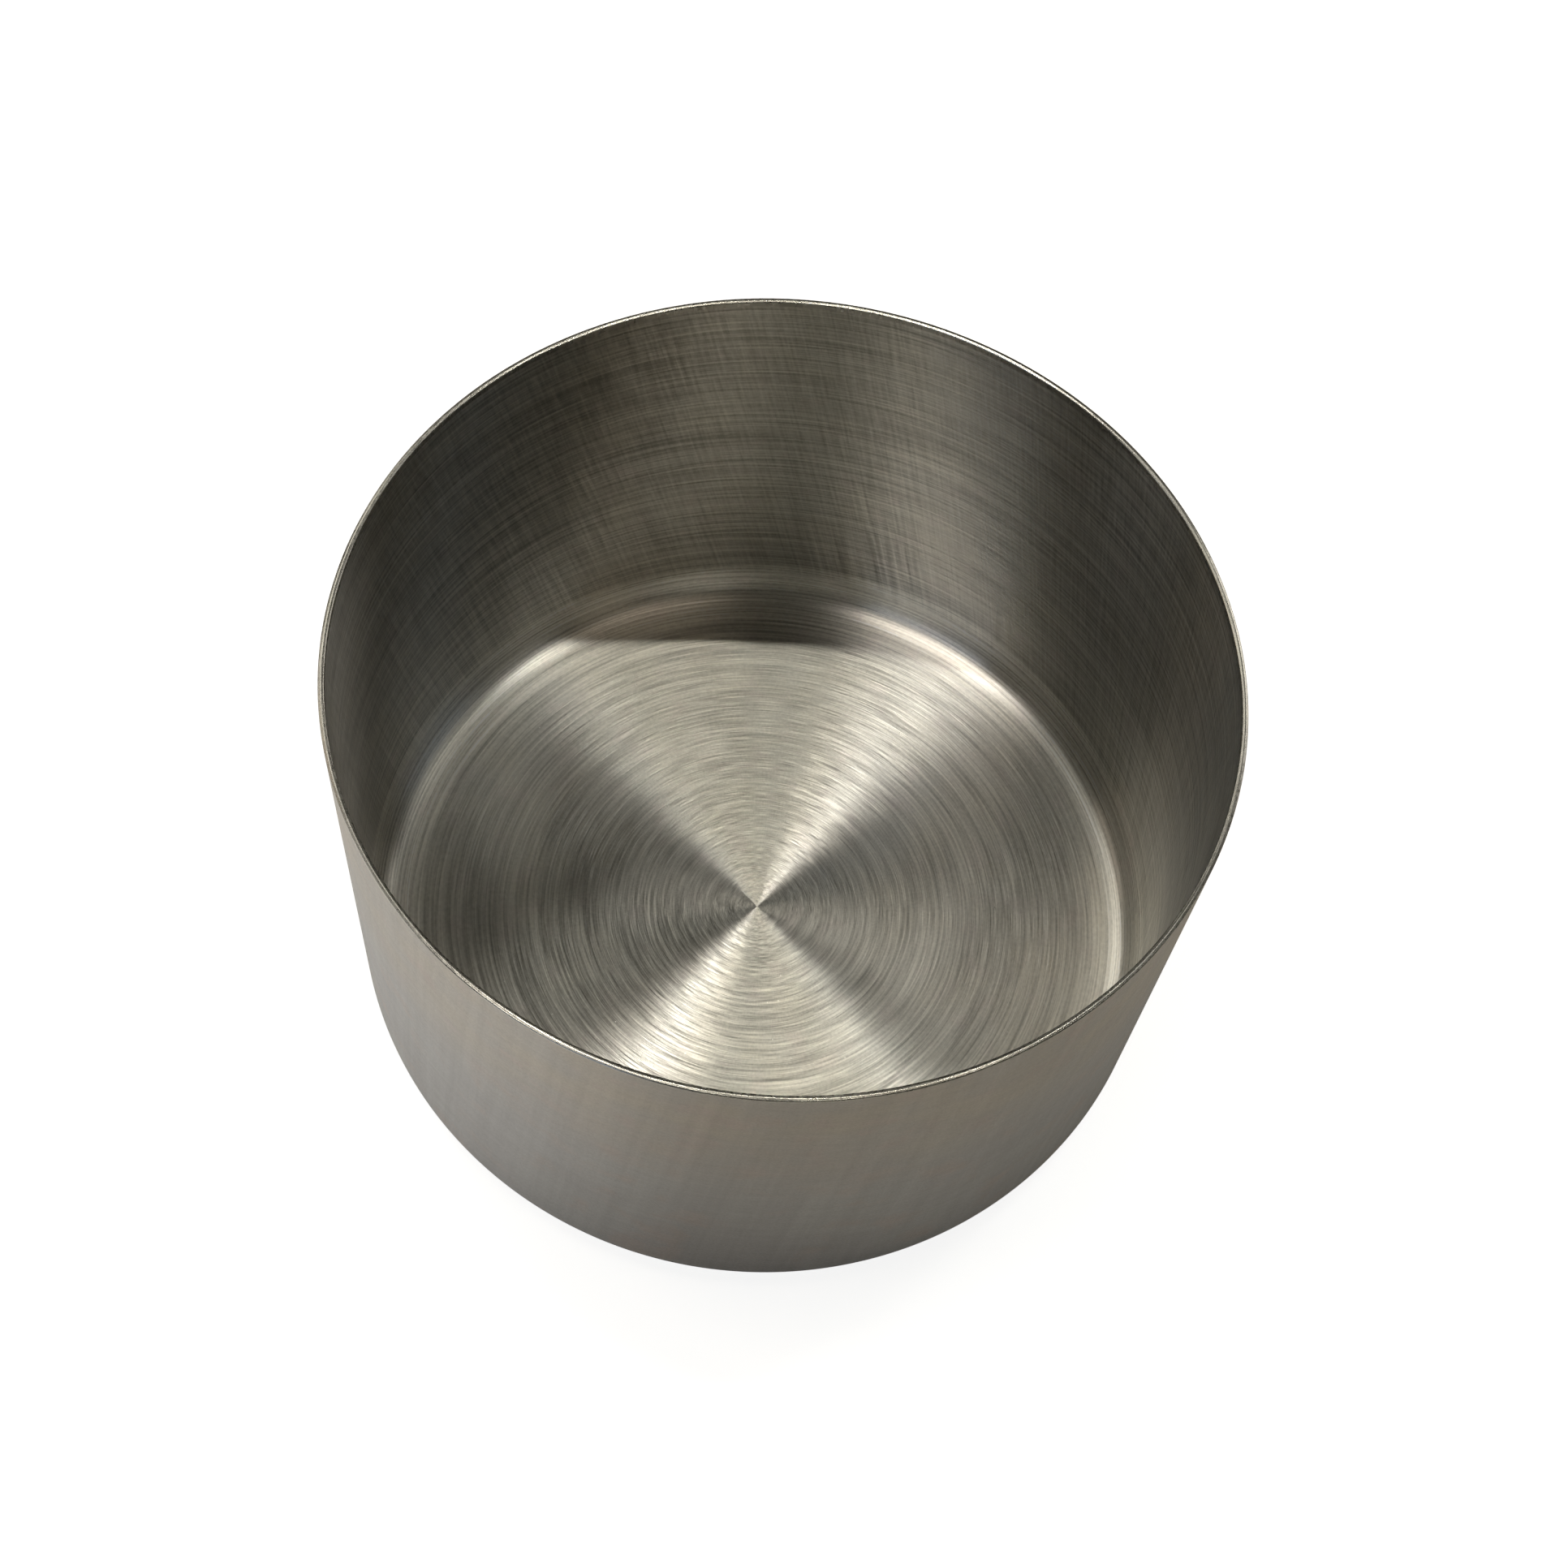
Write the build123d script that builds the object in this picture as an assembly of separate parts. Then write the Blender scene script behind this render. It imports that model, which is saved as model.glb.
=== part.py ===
from build123d import *
import os

# One-piece melting pot, deep drawn from stainless steel sheet.
#
# A straight-walled open cup: a flat base, a rounded bottom corner and a plain
# trimmed rim, all one continuous wall of sheet with nothing fastened to it.
# Millimetres, +Z up, origin at the centre of the underside.

# Overall size of the cup.
outside_diameter = 120.0
height = 74.0

# Sheet: drawing leaves the side wall a little thicker than the base.
wall_thickness = 0.86
base_thickness = 0.80

# Bends and edges of the section.
outside_corner_radius = 7.5
inside_corner_radius = outside_corner_radius - wall_thickness
rim_edge_radius = 0.25

outside_radius = outside_diameter / 2
inside_radius = outside_radius - wall_thickness


def round_corner(section, corner, radius):
    """Round the corner of a flat section in the XZ plane that lies at (x, z)."""
    x, z = corner
    vertex = section.vertices().sort_by_distance((x, 0, z))[0]
    return fillet(vertex, radius)


def sheet_section():
    """Half of the cup's cross-section, from the axis out to the wall and back."""
    base_outside = (outside_radius, 0)
    rim_outside = (outside_radius, height)
    rim_inside = (inside_radius, height)
    floor_inside = (inside_radius, base_thickness)
    outline = Polyline(
        (0, 0), base_outside, rim_outside, rim_inside, floor_inside, (0, base_thickness),
        close=True,
    )
    section = make_face(Plane.XZ * outline)
    section = round_corner(section, base_outside, outside_corner_radius)
    section = round_corner(section, floor_inside, inside_corner_radius)
    section = round_corner(section, rim_outside, rim_edge_radius)
    return round_corner(section, rim_inside, rim_edge_radius)


def pot_body():
    """The whole pot: the section turned once round the vertical axis."""
    return revolve(sheet_section(), axis=Axis.Z)


parts = {"pot_body": pot_body()}

os.makedirs("parts", exist_ok=True)
for node, solid in parts.items():
    export_step(solid, f"parts/{node}.step")
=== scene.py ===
"""Looks of a one-piece stainless steel melting pot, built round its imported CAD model.

Everything is in metres in the frame of the CAD: the origin is at the centre of
the underside and +Z is up.
"""
from math import atan2, cos, pi, radians, sin, sqrt, tan

import bpy
import numpy as np
from mathutils import Matrix, Vector


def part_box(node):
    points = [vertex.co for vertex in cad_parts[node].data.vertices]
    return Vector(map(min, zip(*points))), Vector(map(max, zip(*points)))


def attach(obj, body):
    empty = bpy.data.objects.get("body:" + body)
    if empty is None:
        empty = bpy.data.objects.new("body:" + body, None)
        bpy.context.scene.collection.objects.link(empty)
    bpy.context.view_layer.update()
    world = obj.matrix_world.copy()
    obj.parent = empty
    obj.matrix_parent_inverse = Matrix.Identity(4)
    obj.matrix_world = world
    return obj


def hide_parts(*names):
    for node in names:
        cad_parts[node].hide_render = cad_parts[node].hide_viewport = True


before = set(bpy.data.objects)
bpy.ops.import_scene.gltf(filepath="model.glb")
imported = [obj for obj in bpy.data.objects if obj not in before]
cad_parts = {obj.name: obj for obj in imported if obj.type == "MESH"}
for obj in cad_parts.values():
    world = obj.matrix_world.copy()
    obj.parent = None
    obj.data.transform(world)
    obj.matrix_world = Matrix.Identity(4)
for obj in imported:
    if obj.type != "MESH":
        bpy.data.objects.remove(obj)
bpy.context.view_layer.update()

MM = 0.001

# ---------------------------------------------------------------- sizes
low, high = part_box("pot_body")
outside_radius = min(-low.x, -low.y, high.x, high.y)
height = high.z
wall = 0.86 * MM
base = 0.80 * MM
outside_corner = 7.5 * MM
inside_corner = outside_corner - wall
rim_edge = 0.22 * MM
rim_crown = 0.05 * MM
inside_radius = outside_radius - wall

# ---------------------------------------------------------------- camera
rim_centre = Vector((0, 0, height))
camera_elevation = radians(58.74)
camera_distance = 0.3145
aim = rim_centre + Vector((0.0014, -0.0176, 0))
camera_roll = radians(7.73)
focal_length = 55.9

camera_data = bpy.data.cameras.new("camera")
camera_data.sensor_width = 36
camera_data.lens = focal_length
camera = bpy.data.objects.new("camera", camera_data)
bpy.context.scene.collection.objects.link(camera)
camera.location = rim_centre + camera_distance * Vector(
    (0, -cos(camera_elevation), sin(camera_elevation))
)
looking = (aim - camera.location).to_track_quat("-Z", "Y").to_matrix()
camera.rotation_euler = (looking @ Matrix.Rotation(camera_roll, 3, "Z")).to_euler()
camera_data.clip_start, camera_data.clip_end = 0.01, 20
bpy.context.scene.camera = camera


# ---------------------------------------------------------------- the section
def arc(centre, radius, start, end, count):
    """Points on an arc in the (r, z) plane; angles in degrees, both ends included."""
    turns = np.radians(np.linspace(start, end, count))
    return [(centre[0] + radius * cos(t), centre[1] + radius * sin(t)) for t in turns]


def line(start, end, count, ends=False):
    """Evenly spaced points between two (r, z) points, without the ends unless asked."""
    shares = np.linspace(0, 1, count + 2)
    if not ends:
        shares = shares[1:-1]
    return [
        (start[0] + (end[0] - start[0]) * s, start[1] + (end[1] - start[1]) * s)
        for s in shares
    ]


UNDER, OUTSIDE, RIM, INSIDE = range(4)
COARSE, FINE = 320, 960


def section():
    """The cup's section from the underside's centre round to the floor's centre.

    Each entry is (r, z, zone, count): zone is the material of the strip that
    follows the point and count the number of vertices in its ring.
    """
    points = []

    def add(new, zone, count=COARSE):
        points.extend((r, z, zone, count) for r, z in new)

    r_out, r_in, h = outside_radius, inside_radius, height
    ro, ri = outside_corner, inside_corner
    # underside and outer wall
    add(line((0.4 * MM, 0), (r_out - ro, 0), 16), UNDER)
    add(arc((r_out - ro, ro), ro, -90, -60, 8), UNDER)
    add(arc((r_out - ro, ro), ro, -58, 0, 14), OUTSIDE)
    add(line((r_out, ro), (r_out, h - 3 * MM), 16), OUTSIDE)
    # the rim: two rounded edges and a slightly crowned land between them
    e = rim_edge
    add([(r_out, h - 1.6 * MM), (r_out, h - 0.9 * MM)], OUTSIDE, FINE)
    top = h - rim_crown
    add(arc((r_out - e, top - e), e, 0, 80, 7), RIM, FINE)
    for share in np.linspace(0.04, 0.96, 11):
        r = r_out - e - share * (wall - 2 * e)
        crown = rim_crown * 4 * share * (1 - share)
        add([(r, top + crown)], RIM, FINE)
    add(arc((r_in + e, top - e), e, 100, 180, 7), RIM, FINE)
    add([(r_in, h - 0.9 * MM), (r_in, h - 1.6 * MM)], INSIDE, FINE)
    # inner wall, corner and floor
    add(line((r_in, h - 3 * MM), (r_in, base + ri), 30), INSIDE)
    add(arc((r_in - ri, base + ri), ri, 0, -90, 44), INSIDE)
    add(line((r_in - ri, base), (0.4 * MM, base), 52), INSIDE)
    return points


def lathe(points):
    """Vertices, faces and face zones of the section turned round the vertical axis."""
    vertices, rings = [], []
    for r, z, zone, count in points:
        turns = np.arange(count) * (2 * pi / count)
        rings.append((len(vertices), count))
        vertices.extend(zip(r * np.cos(turns), r * np.sin(turns), np.full(count, z)))
    faces, zones = [], []
    for i in range(len(rings) - 1):
        (a, na), (b, nb) = rings[i], rings[i + 1]
        steps = min(na, nb)
        ka, kb = na // steps, nb // steps
        for s in range(steps):
            lower = [a + (s * ka + k) % na for k in range(ka + 1)]
            upper = [b + (s * kb + k) % nb for k in range(kb, -1, -1)]
            faces.append(lower + upper)
            zones.append(points[i][2])
    for (start, count), z, zone in (
        (rings[0], points[0][1], points[0][2]),
        (rings[-1], points[-1][1], points[-1][2]),
    ):
        pole = len(vertices)
        vertices.append((0, 0, z))
        for s in range(count):
            pair = [start + s, start + (s + 1) % count]
            faces.append([pole] + (pair[::-1] if start == 0 else pair))
            zones.append(zone)
    return vertices, faces, zones


# ---------------------------------------------------------------- materials
class Nodes:
    """Adds shader nodes to one material, wiring inputs given as sockets or values."""

    def __init__(self, name):
        self.material = bpy.data.materials.new(name)
        self.material.use_nodes = True
        self.tree = self.material.node_tree
        self.tree.nodes.clear()

    def add(self, kind, inputs=(), out=0, **settings):
        node = self.tree.nodes.new("ShaderNode" + kind)
        for key, value in settings.items():
            setattr(node, key, value)
        for key, value in dict(inputs).items():
            if isinstance(value, bpy.types.NodeSocket):
                self.tree.links.new(value, node.inputs[key])
            else:
                node.inputs[key].default_value = value
        return node.outputs[out]

    def math(self, operation, a, b=0.0, c=0.0):
        return self.add("Math", {0: a, 1: b, 2: c}, operation=operation)

    def ramp(self, value, low, high, to_low=0.0, to_high=1.0, smooth=True):
        """value mapped from low..high to to_low..to_high and held at the ends."""
        kind = "SMOOTHSTEP" if smooth else "LINEAR"
        return self.add(
            "MapRange",
            {0: value, 1: low, 2: high, 3: to_low, 4: to_high},
            interpolation_type=kind,
        )

    def mix(self, share, a, b):
        """Linear blend of two colours."""
        node = self.tree.nodes.new("ShaderNodeMix")
        node.data_type = "RGBA"
        for index, value in ((0, share), (6, a), (7, b)):
            if isinstance(value, bpy.types.NodeSocket):
                self.tree.links.new(value, node.inputs[index])
            else:
                node.inputs[index].default_value = value
        return node.outputs[2]

    def shade(self, colour, amount):
        """Colour made darker or lighter by a factor."""
        return self.add("VectorMath", {0: colour, "Scale": amount}, operation="SCALE")

    def turned_place(self):
        """(r, z, x / r, y / r) of the shaded point; r and z in millimetres."""
        place = self.add("TexCoord", out=3)
        place = self.add("VectorMath", {0: place, "Scale": 1 / MM}, operation="SCALE")
        split = self.tree.nodes.new("ShaderNodeSeparateXYZ")
        self.tree.links.new(place, split.inputs[0])
        x, y, z = split.outputs
        r = self.math("SQRT", self.math("MULTIPLY_ADD", x, x, self.math("MULTIPLY", y, y)))
        r = self.math("MAXIMUM", r, 0.001)
        return r, z, self.math("DIVIDE", x, r), self.math("DIVIDE", y, r)

    def grooves(self, along, ux, uy, per_mm, arcs, detail=2.0, shift=0.0):
        """Noise drawn out round the axis: fine along the section, long round the turn."""
        place = self.add(
            "CombineXYZ",
            {
                0: self.math("MULTIPLY", along, per_mm),
                1: self.math("MULTIPLY_ADD", ux, arcs, shift),
                2: self.math("MULTIPLY", uy, arcs),
            },
        )
        return self.add(
            "TexNoise", {"Vector": place, "Scale": 1.0, "Detail": detail, "Roughness": 0.6}
        )

    def finish(self, **inputs):
        shader = self.tree.nodes.new("ShaderNodeBsdfPrincipled")
        for key, value in inputs.items():
            socket = shader.inputs[key.replace("_", " ")]
            if isinstance(value, bpy.types.NodeSocket):
                self.tree.links.new(value, socket)
            else:
                socket.default_value = value
        output = self.tree.nodes.new("ShaderNodeOutputMaterial")
        self.tree.links.new(shader.outputs[0], output.inputs[0])
        return self.material


def around(n):
    """Unit vector round the axis at the shaded point."""
    return n.add("Tangent", direction_type="RADIAL", axis="Z")


def swing(n, noise, amount):
    """A 0..1 noise turned into a value either side of zero."""
    return n.math("MULTIPLY_ADD", noise, amount, -0.5 * amount)


def brushed(n, slope, sway):
    """The normal leant along the section by slope and round the turn by sway."""
    tangent = around(n)
    normal = n.add("NewGeometry", out=1)
    across = n.add("VectorMath", {0: tangent, 1: normal}, operation="CROSS_PRODUCT")
    lean = n.add("VectorMath", {0: across, "Scale": slope}, operation="SCALE")
    turn = n.add("VectorMath", {0: tangent, "Scale": sway}, operation="SCALE")
    lean = n.add("VectorMath", {0: lean, 1: turn}, operation="ADD")
    lean = n.add("VectorMath", {0: lean, 1: normal}, operation="ADD")
    return n.add("VectorMath", {0: lean}, operation="NORMALIZE")


def mottle(n, size, *colours):
    """Steel colour drifting softly between several tones; size in millimetres."""
    place = n.add("TexCoord", out=3)
    place = n.add("VectorMath", {0: place, "Scale": 1 / (size * MM)}, operation="SCALE")
    share = n.add("TexNoise", {"Vector": place, "Scale": 1.0, "Detail": 3.0})
    shade = n.add("TexNoise", {"Vector": place, "Scale": 2.3, "Detail": 4.0}, out=0)
    first, second, third = colours
    colour = n.mix(n.ramp(share, 0.35, 0.60), (*first, 1), (*second, 1))
    return n.mix(n.ramp(shade, 0.50, 0.72), colour, (*third, 1))


def specks(n, spacing, size, share):
    """Sparse round dots: 1 at a dot's middle, 0 off it; sizes in millimetres."""
    place = n.add("TexCoord", out=3)
    place = n.add("VectorMath", {0: place, "Scale": 1 / (spacing * MM)}, operation="SCALE")
    cells = n.tree.nodes.new("ShaderNodeTexVoronoi")
    n.tree.links.new(place, cells.inputs["Vector"])
    cells.inputs["Scale"].default_value = 1.0
    near = n.ramp(cells.outputs["Distance"], 0.0, size / spacing, 1.0, 0.0)
    chance = n.add("SeparateColor", {0: cells.outputs["Color"]})
    return n.math("MULTIPLY", near, n.math("LESS_THAN", chance, share))


def upright_scratches(n, z, ux, uy, per_turn, slant, per_mm, shift=0.0):
    """Noise drawn out up the wall, leaning by slant radians a millimetre."""
    lean = n.math("MULTIPLY", z, slant)
    place = n.add(
        "CombineXYZ",
        {
            0: n.math("MULTIPLY", n.math("MULTIPLY_ADD", lean, uy, ux), per_turn),
            1: n.math(
                "MULTIPLY",
                n.math("SUBTRACT", uy, n.math("MULTIPLY", lean, ux)),
                per_turn,
            ),
            2: n.math("MULTIPLY_ADD", z, per_mm, shift),
        },
    )
    return n.add("TexNoise", {"Vector": place, "Scale": 1.0, "Detail": 2.0})


def inside_steel():
    n = Nodes("steel_inside")
    r, z, ux, uy = n.turned_place()
    along = n.math("ADD", r, z)
    on_wall = n.ramp(z, 4.0, 9.0)
    # the corner is smoother than the floor and the wall; its metal is also painted paler
    # further down, a painted highlight
    in_corner = n.math("MULTIPLY", n.ramp(r, 50.5, 53.5), n.ramp(z, 6.0, 10.0, 1.0, 0.0))
    rough = n.math("MULTIPLY_ADD", in_corner, -0.80, 1.0)
    # the floor runs out a little flatter before the corner turns up
    flatter = n.math("MULTIPLY", n.ramp(r, 52.3, 54.2), n.ramp(r, 55.9, 57.8, 1.0, 0.0))
    flatter = n.math("MULTIPLY", flatter, in_corner)
    # turned marks: a close grain, lines that can be seen, broad rings, short arcs
    grain = n.grooves(along, ux, uy, 19.0, 7.0, detail=0.0, shift=3.0)
    lines = n.grooves(along, ux, uy, 2.4, 1.8, detail=2.0, shift=7.0)
    rings = n.grooves(along, ux, uy, 0.55, 0.4, shift=11.0)
    arcs = n.grooves(along, ux, uy, 2.6, 11.0, shift=5.0)
    leather = n.grooves(along, ux, uy, 2.2, 70.0, shift=9.0)
    dots = specks(n, 1.6, 0.17, 0.16)
    # wall: the same level marks crossed by faint upright ones
    uprights = upright_scratches(n, z, ux, uy, 120.0, 0.004, 0.04)
    crossed = n.math("MULTIPLY", swing(n, uprights, 0.12), on_wall)
    slope = n.math("MULTIPLY", swing(n, grain, 0.60), rough)
    slope = n.math("MULTIPLY_ADD", flatter, 0.27, slope)
    slope = n.math("ADD", slope, swing(n, lines, 0.12))
    slope = n.math("ADD", slope, swing(n, rings, 0.10))
    slope = n.math("MULTIPLY_ADD", dots, 0.3, slope)
    sway = n.math("ADD", swing(n, arcs, 0.022), swing(n, leather, 0.012))
    sway = n.math("ADD", sway, crossed)
    # the marks also darken and lighten the metal
    marks = n.math("ADD", swing(n, lines, 1.7), swing(n, leather, 0.5))
    marks = n.math("MULTIPLY_ADD", crossed, 6.5, marks)
    tone = mottle(n, 9.0, (0.61, 0.595, 0.55), (0.59, 0.58, 0.545), (0.60, 0.575, 0.545))
    tone = n.shade(tone, n.ramp(marks, -0.4, 0.4, 0.62, 1.38, smooth=False))
    # painted highlight: the corner's metal made up to 38% paler so its rings and hot spots
    # shine brighter
    tone = n.shade(tone, n.math("MULTIPLY_ADD", in_corner, 0.38, 1.0))
    # painted glint: the dots' metal turned near white, on top of their rougher, tilted
    # relief
    tone = n.mix(n.math("MULTIPLY", dots, 0.8), tone, (0.95, 0.95, 0.93, 1))
    return n.finish(
        Base_Color=tone,
        Metallic=1.0,
        Roughness=n.math("MULTIPLY_ADD", dots, 0.3, 0.277),
        Anisotropic=1.0,
        Anisotropic_Rotation=0.25,
        Normal=brushed(n, slope, sway),
        Tangent=around(n),
    )


def rim_steel():
    n = Nodes("steel_rim")
    r, z, ux, uy = n.turned_place()
    lines = n.grooves(r, ux, uy, 6.0, 3.0)
    rough = n.grooves(r, ux, uy, 4.0, 60.0, shift=5.0)
    dots = specks(n, 1.6, 0.22, 0.20)
    tone = mottle(n, 6.0, (0.61, 0.60, 0.55), (0.60, 0.585, 0.55), (0.58, 0.575, 0.53))
    tone = n.shade(tone, n.ramp(lines, 0.35, 0.65, 0.75, 1.2, smooth=False))
    return n.finish(
        Base_Color=tone,
        Metallic=1.0,
        Roughness=n.math("MULTIPLY_ADD", rough, 0.15, 0.20),
        Anisotropic=0.6,
        Anisotropic_Rotation=0.25,
        Normal=brushed(
            n,
            n.math("MULTIPLY_ADD", dots, 0.3, swing(n, lines, 0.8)),
            swing(n, rough, 0.10),
        ),
        Tangent=around(n),
    )


def outside_steel():
    n = Nodes("steel_outside")
    r, z, ux, uy = n.turned_place()
    along = n.math("ADD", r, z)
    level = n.grooves(along, ux, uy, 0.8, 7.0, detail=4.0)
    grain = n.grooves(along, ux, uy, 3.0, 170.0, shift=9.0)
    uprights = upright_scratches(n, z, ux, uy, 40.0, 0.002, 0.02, shift=4.0)
    dots = specks(n, 5.0, 0.25, 0.12)
    marks = n.math("ADD", swing(n, grain, 0.6), swing(n, uprights, 0.4))
    marks = n.math("ADD", marks, swing(n, level, 0.4))
    # warm near the rim, cooler grey lower down
    cool = mottle(n, 16.0, (0.56, 0.565, 0.565), (0.54, 0.54, 0.545), (0.58, 0.545, 0.53))
    warm = mottle(n, 11.0, (0.61, 0.575, 0.52), (0.58, 0.56, 0.53), (0.61, 0.555, 0.52))
    tone = n.mix(n.ramp(z, 34.0, 66.0), cool, warm)
    tone = n.shade(tone, n.ramp(marks, -0.3, 0.3, 0.82, 1.18, smooth=False))
    tone = n.mix(n.math("MULTIPLY", dots, 0.7), tone, (0.12, 0.11, 0.10, 1))
    return n.finish(
        Base_Color=tone,
        Metallic=1.0,
        Roughness=n.math("MULTIPLY_ADD", level, 0.10, 0.37),
        Anisotropic=0.35,
        Anisotropic_Rotation=0.25,
        Normal=brushed(
            n,
            n.math("ADD", swing(n, level, 0.12), swing(n, grain, 0.15)),
            n.math("ADD", swing(n, uprights, 0.08), swing(n, grain, 0.08)),
        ),
        Tangent=around(n),
    )


def underside_steel():
    n = Nodes("steel_underside")
    r, z, ux, uy = n.turned_place()
    grain = n.grooves(r, ux, uy, 6.0, 12.0, detail=1.0, shift=7.0)
    lines = n.grooves(r, ux, uy, 1.5, 3.0, detail=3.0)
    tone = mottle(n, 12.0, (0.60, 0.59, 0.56), (0.58, 0.575, 0.57), (0.60, 0.575, 0.55))
    tone = n.shade(tone, n.ramp(lines, 0.3, 0.7, 0.82, 1.18, smooth=False))
    return n.finish(
        Base_Color=tone,
        Metallic=1.0,
        Roughness=0.30,
        Anisotropic=0.8,
        Anisotropic_Rotation=0.25,
        Normal=brushed(
            n,
            n.math("ADD", swing(n, grain, 1.2), swing(n, lines, 0.4)),
            swing(n, grain, 0.05),
        ),
        Tangent=around(n),
    )


# ---------------------------------------------------------------- the pot
vertices, faces, zones = lathe(section())
mesh = bpy.data.meshes.new("pot_shell")
mesh.from_pydata(vertices, [], faces)
for build in (underside_steel, outside_steel, rim_steel, inside_steel):
    mesh.materials.append(build())
mesh.polygons.foreach_set("material_index", zones)
mesh.polygons.foreach_set("use_smooth", [True] * len(faces))
mesh.update()
pot = bpy.data.objects.new("pot_shell", mesh)
bpy.context.scene.collection.objects.link(pot)
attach(pot, "root")
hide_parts("pot_body")

# ---------------------------------------------------------------- floor and light
def flat_sheet(name, half, z, material):
    sheet_mesh = bpy.data.meshes.new(name)
    corners = [(-half, -half, z), (half, -half, z), (half, half, z), (-half, half, z)]
    sheet_mesh.from_pydata(corners, [], [(0, 1, 2, 3)])
    sheet_mesh.materials.append(material)
    sheet = bpy.data.objects.new(name, sheet_mesh)
    bpy.context.scene.collection.objects.link(sheet)
    return sheet


# The floor that is seen is pale. The steel mirrors a dimmer one, as on a bench away from
# the studio's white paper; that bench has a painted glow, strong to the left of the pot.
floor = flat_sheet(
    "studio_floor", 6.0, -0.0002,
    Nodes("pale_floor").finish(
        Base_Color=(0.80, 0.80, 0.79, 1), Roughness=0.9, Specular_IOR_Level=0.0,
        Emission_Color=(1, 1, 0.995, 1), Emission_Strength=0.85,
    ),
)
floor.visible_glossy = False
floor.visible_diffuse = False
bench_nodes = Nodes("bench")
bench_x = bench_nodes.tree.nodes.new("ShaderNodeSeparateXYZ")
bench_nodes.tree.links.new(bench_nodes.add("TexCoord", out=3), bench_x.inputs[0])
bench = flat_sheet(
    "mirrored_bench", 6.0, -0.0001,
    bench_nodes.finish(
        Base_Color=(0.80, 0.77, 0.72, 1), Roughness=1.0, Specular_IOR_Level=0.0,
        Emission_Color=(1, 0.99, 0.97, 1),
        # painted light: the bench glows strongly left of the pot and hardly at all right
        # of its middle
        Emission_Strength=bench_nodes.ramp(bench_x.outputs[0], -0.09, 0.005, 0.36, 0.02),
    ),
)
bench.visible_camera = False
bench.visible_diffuse = False
bench.visible_shadow = False

# a pale wall far behind, for the views that look over the floor's edge
wall_turns = [step * 2 * pi / 48 for step in range(48)]
wall_mesh = bpy.data.meshes.new("studio_wall")
wall_mesh.from_pydata(
    [(5.9 * cos(t), 5.9 * sin(t), z) for z in (-0.01, 9.0) for t in wall_turns],
    [],
    [(i, (i + 1) % 48, (i + 1) % 48 + 48, i + 48) for i in range(48)],
)
wall_mesh.materials.append(
    Nodes("pale_wall").finish(
        Base_Color=(0, 0, 0, 1), Roughness=1.0, Specular_IOR_Level=0.0,
        Emission_Color=(1, 1, 0.995, 1), Emission_Strength=0.90,
    )
)
studio_wall = bpy.data.objects.new("studio_wall", wall_mesh)
bpy.context.scene.collection.objects.link(studio_wall)
studio_wall.visible_glossy = False
studio_wall.visible_diffuse = False
studio_wall.visible_shadow = False


def strip_light(name, start, end, width, power, colour=(1, 1, 1)):
    """A long narrow lamp from start to end, facing down."""
    start, end = Vector(start), Vector(end)
    data = bpy.data.lights.new(name, "AREA")
    data.shape = "RECTANGLE"
    data.size, data.size_y = (end - start).length, width
    data.energy = power
    data.color = colour
    lamp = bpy.data.objects.new(name, data)
    bpy.context.scene.collection.objects.link(lamp)
    lamp.visible_camera = False
    along = (end - start).normalized()
    back = ((start + end) / 2 - rim_centre).normalized()
    across = back.cross(along).normalized()
    back = along.cross(across)
    lamp.matrix_world = Matrix.Translation((start + end) / 2) @ Matrix(
        (along, across, back)
    ).transposed().to_4x4()
    return lamp


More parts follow.
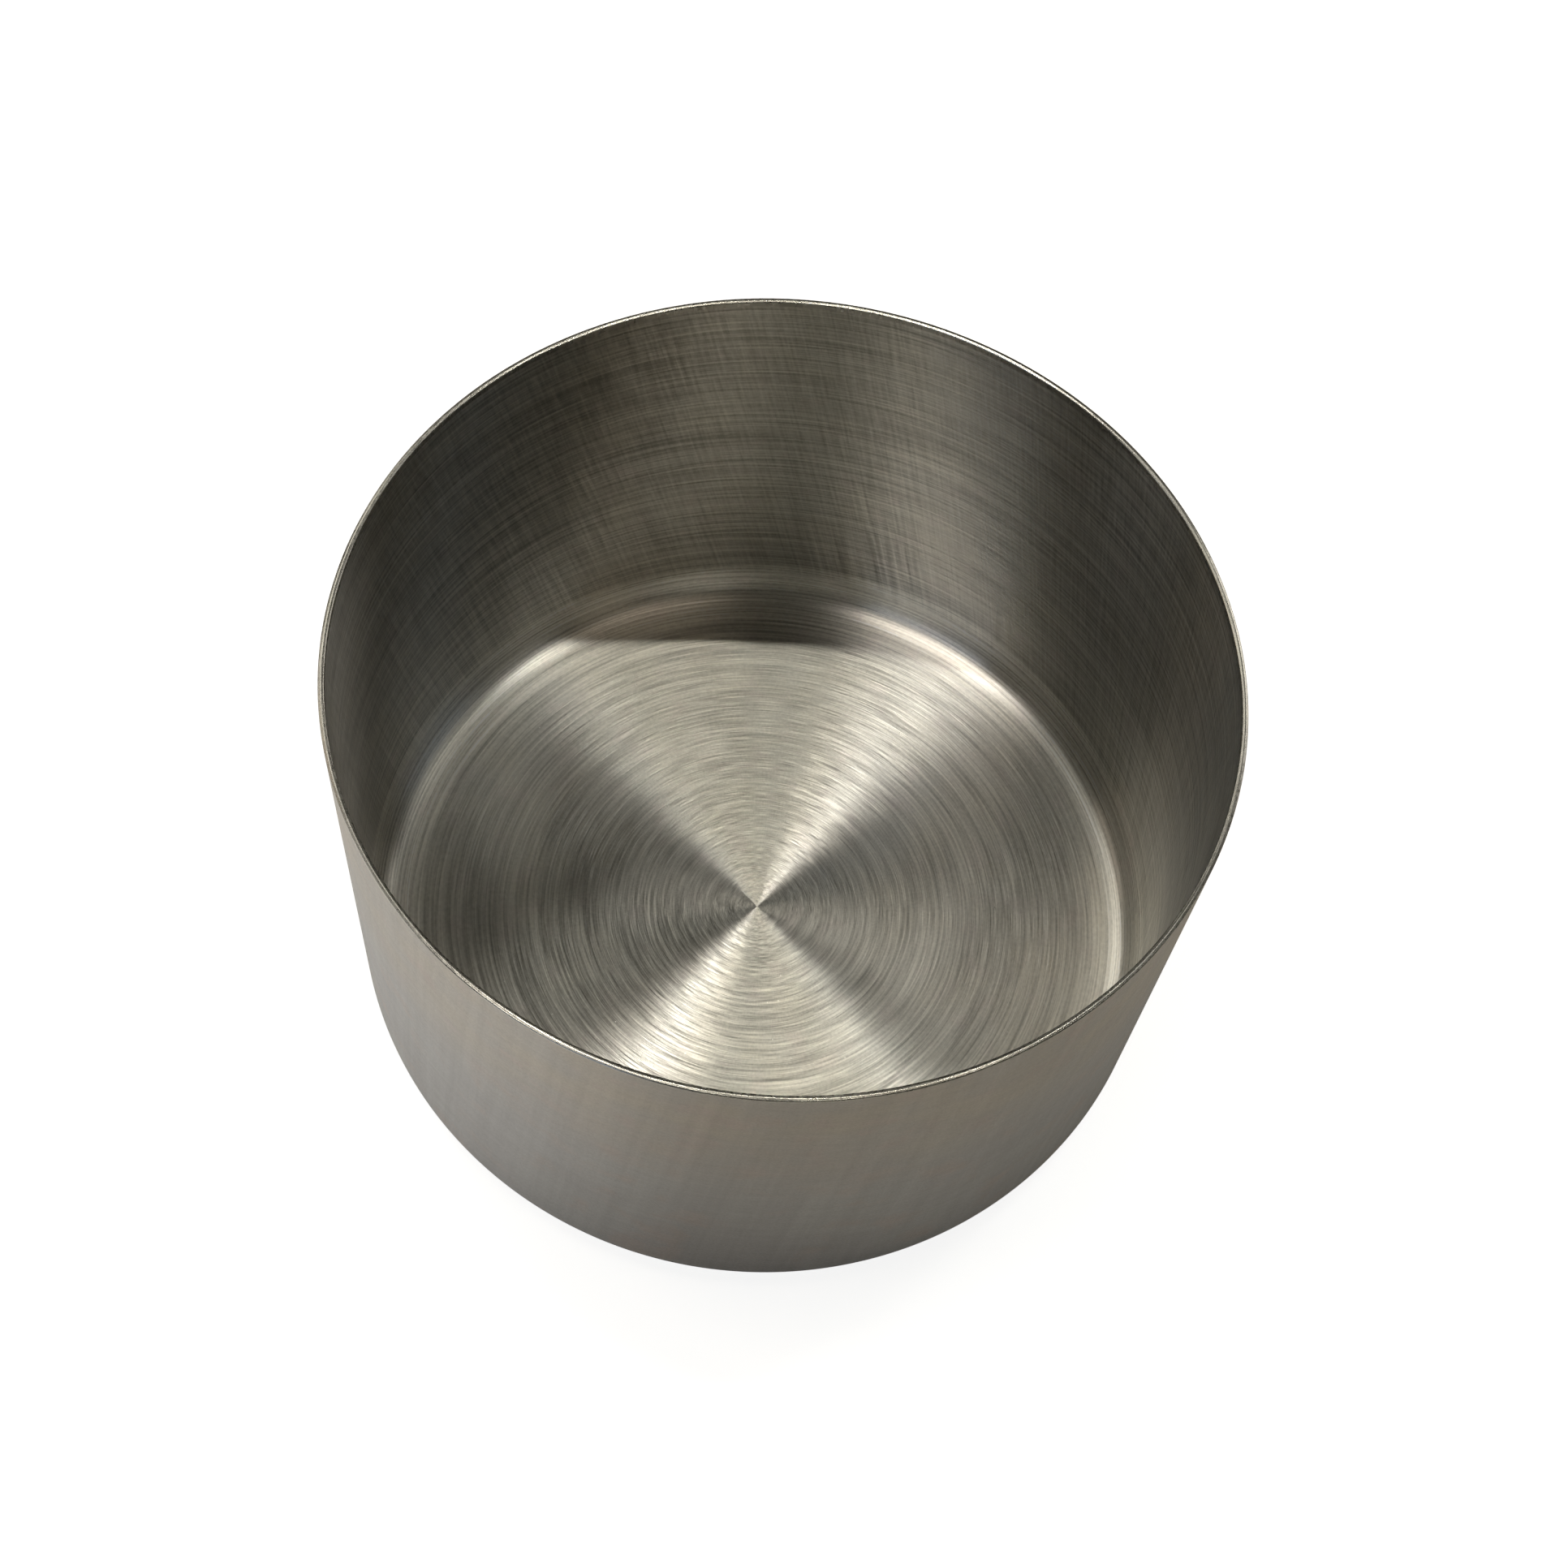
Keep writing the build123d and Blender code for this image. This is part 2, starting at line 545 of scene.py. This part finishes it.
def panel_light(name, azimuth, elevation, size, power, colour=(1, 1, 1)):
    """A square lamp two metres off, facing the pot; angles in degrees."""
    a, e = radians(azimuth), radians(elevation)
    towards = Vector((cos(a) * cos(e), sin(a) * cos(e), sin(e)))
    data = bpy.data.lights.new(name, "AREA")
    data.shape = "SQUARE"
    data.size = size
    data.energy = power
    data.color = colour
    lamp = bpy.data.objects.new(name, data)
    bpy.context.scene.collection.objects.link(lamp)
    lamp.visible_camera = False
    lamp.location = Vector((0, 0, 0.04)) + towards * lamp_distance
    lamp.rotation_euler = towards.to_track_quat("Z", "Y").to_euler()
    return lamp


# One lamp tube nearly overhead, a little behind the pot and slightly askew, with
# brighter ends.
lamp_distance = 2.0
key_left = Vector((-0.17, 0.158, 1)) * lamp_distance
key_right = Vector((0.25, 0.208, 1)) * lamp_distance
key_width = 0.026
key_middle_colour = (1.0, 0.96, 0.82)
key_end_colour = (1.0, 0.985, 0.96)


def key_part(name, share_from, share_to, brightness, colour):
    """A stretch of the tube; brightness is power per metre of tube."""
    start = key_left.lerp(key_right, share_from)
    end = key_left.lerp(key_right, share_to)
    power = brightness * (end - start).length
    strip_light(name, start, end, key_width, power, colour)


key_part("key", 0.0, 1.0, 5.5, key_middle_colour)
key_part("key_left_end", 0.0, 0.10, 10.0, key_end_colour)
key_part("key_right_end", 0.90, 1.03, 5.2, key_end_colour)

# soft light from the room
warm, cool = (1.0, 0.84, 0.66), (0.62, 0.76, 1.0)
panel_light("top_left", 180, 78, 0.45, 3.4, (1.0, 0.92, 0.82))
panel_light("top_right", 0, 78, 0.45, 0.5, warm)
panel_light("right_high", 45, 64, 0.5, 0.6, (1.0, 0.98, 0.90))
panel_light("right", 45, 32, 0.6, 2.8, (1.0, 0.95, 0.86))
panel_light("right_low", 30, 16, 0.6, 1.2, (1.0, 0.96, 0.9))
panel_light("back", 130, 50, 0.7, 2.5, (1.0, 0.95, 0.84))
panel_light("back_high", 135, 64, 0.5, 0.6, (1.0, 0.98, 0.88))
panel_light("left", 165, 32, 0.6, 1.4, warm)
panel_light("left_low", 195, 18, 0.8, 1.7, (1.0, 0.98, 0.95))
panel_light("front", 235, 32, 0.9, 1.9, cool)

world = bpy.data.worlds.new("studio")
world.use_nodes = True
world.node_tree.nodes["Background"].inputs[0].default_value = (1, 0.94, 0.72, 1)
world.node_tree.nodes["Background"].inputs[1].default_value = 0.030
bpy.context.scene.world = world
bpy.context.scene.view_settings.view_transform = "Standard"
